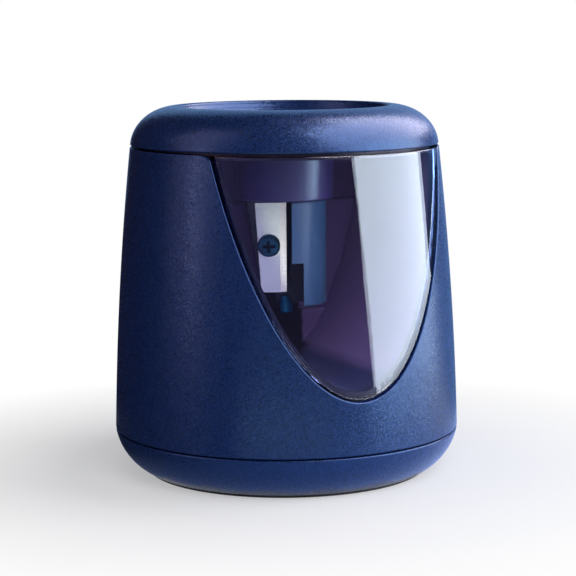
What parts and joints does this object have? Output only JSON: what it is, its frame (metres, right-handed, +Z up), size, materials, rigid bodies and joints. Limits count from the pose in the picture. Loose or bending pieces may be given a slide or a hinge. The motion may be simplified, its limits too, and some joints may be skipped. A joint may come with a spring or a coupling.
{
  "type": "battery pencil sharpener",
  "caption": "Round desk pencil sharpener with a dished ring-shaped cap, a motor-driven blade behind a smoked U-shaped window, a pull-out shavings bin and a battery door underneath.",
  "frame": {"origin": "centre of the base, on the table surface", "axes": "+Z up along the pencil axis, -Y out through the window and shavings bin, +X to the right as seen from the window side"},
  "size_m": [0.082, 0.082, 0.0869],
  "materials": {
    "shell_plastic": "satin navy plastic with fine metallic flake",
    "smoked_window": "clear plastic with a light smoked blue-violet tint, polished",
    "chamber_plastic": "dark violet plastic, polished",
    "holder_plastic": "slate-blue plastic, semi-gloss",
    "blade_steel": "ground steel with a bright cutting bevel",
    "dark_screw": "dark teal-black plated steel",
    "steel": "plain bright steel",
    "brass": "turned brass",
    "gear_plastic": "natural white moulded plastic",
    "black_plastic": "black moulded plastic",
    "rubber": "soft black rubber",
    "motor_steel": "pressed plated steel",
    "cell_jacket": "plain unprinted sleeve",
    "contact_metal": "nickel-plated strip",
    "lead_red": "red insulated wire",
    "lead_black": "black insulated wire"
  },
  "bodies": {
    "housing": {"base_cover": "shell_plastic", "foot_ring": "rubber", "base_screws": "steel", "body_shell": "shell_plastic", "head_screws": "steel", "top_cap": "shell_plastic", "entry_ring": "black_plastic", "mechanism_deck": "chamber_plastic", "bearing_collar": "holder_plastic", "bearing_bush": "brass", "idler_axle": "steel", "motor_can": "motor_steel", "motor_end_cap": "gear_plastic", "motor_terminals": "contact_metal", "motor_screws": "steel", "inner_chassis": "chamber_plastic", "battery_cells": "cell_jacket", "battery_contacts": "contact_metal", "lever_pin": "steel", "start_switch": "black_plastic", "safety_switch": "black_plastic", "red_leads": "lead_red", "black_lead": "lead_black"},
    "cutter": {"cutter_holder": "holder_plastic", "blade": "blade_steel", "blade_screw": "dark_screw", "point_stop_screw": "dark_screw", "cutter_gear": "gear_plastic"},
    "idler": {"idler_gear": "gear_plastic"},
    "rotor": {"motor_shaft": "steel", "motor_pinion": "brass"},
    "bin": {"bin_window": "smoked_window", "shavings_tray": "chamber_plastic"},
    "door": {"battery_door": "shell_plastic", "bridge_contact": "contact_metal"},
    "lever": {"start_lever": "gear_plastic"},
    "button": {"start_button": "black_plastic"},
    "plunger": {"safety_plunger": "gear_plastic"}
  },
  "joints": [
    {"name": "cutter_spin", "type": "hinge", "parent": "housing", "child": "cutter", "pos_m": [0, 0, 0.06], "axis": [0, 0, 1], "continuous": true},
    {"name": "idler_spin", "type": "hinge", "parent": "housing", "child": "idler", "pos_m": [0.00287, 0.01472, 0.08], "axis": [0, 0, 1], "continuous": true},
    {"name": "motor_spin", "type": "hinge", "parent": "housing", "child": "rotor", "pos_m": [0, 0.0243, 0.065], "axis": [0, 0, 1], "continuous": true},
    {"name": "bin_slide", "type": "slide", "parent": "housing", "child": "bin", "axis": [0, -1, 0], "range_m": [0, 0.045]},
    {"name": "door_hinge", "type": "hinge", "parent": "housing", "child": "door", "pos_m": [0, 0.01065, 0.0016], "axis": [-1, 0, 0], "range_deg": [0, 100]},
    {"name": "lever_swing", "type": "hinge", "parent": "housing", "child": "lever", "pos_m": [-0.0055, -0.015, 0.0809], "axis": [0, 0, 1], "range_deg": [0, 4], "stiffness_Nm_per_rad": 0.02, "springref_deg": -5},
    {"name": "button_press", "type": "slide", "parent": "housing", "child": "button", "axis": [1, 0, 0], "range_m": [0, 0.0008]},
    {"name": "plunger_slide", "type": "slide", "parent": "housing", "child": "plunger", "axis": [0, -1, 0], "range_m": [0, 0.0012]}
  ],
  "couplings": [
    {"joint": "idler_spin", "follows": "cutter_spin", "ratio": -4},
    {"joint": "motor_spin", "follows": "cutter_spin", "ratio": 12},
    {"joint": "button_press", "follows": "lever_swing", "m_per_rad": 0.0075},
    {"joint": "plunger_slide", "follows": "bin_slide", "ratio": 0.026666}
  ]
}
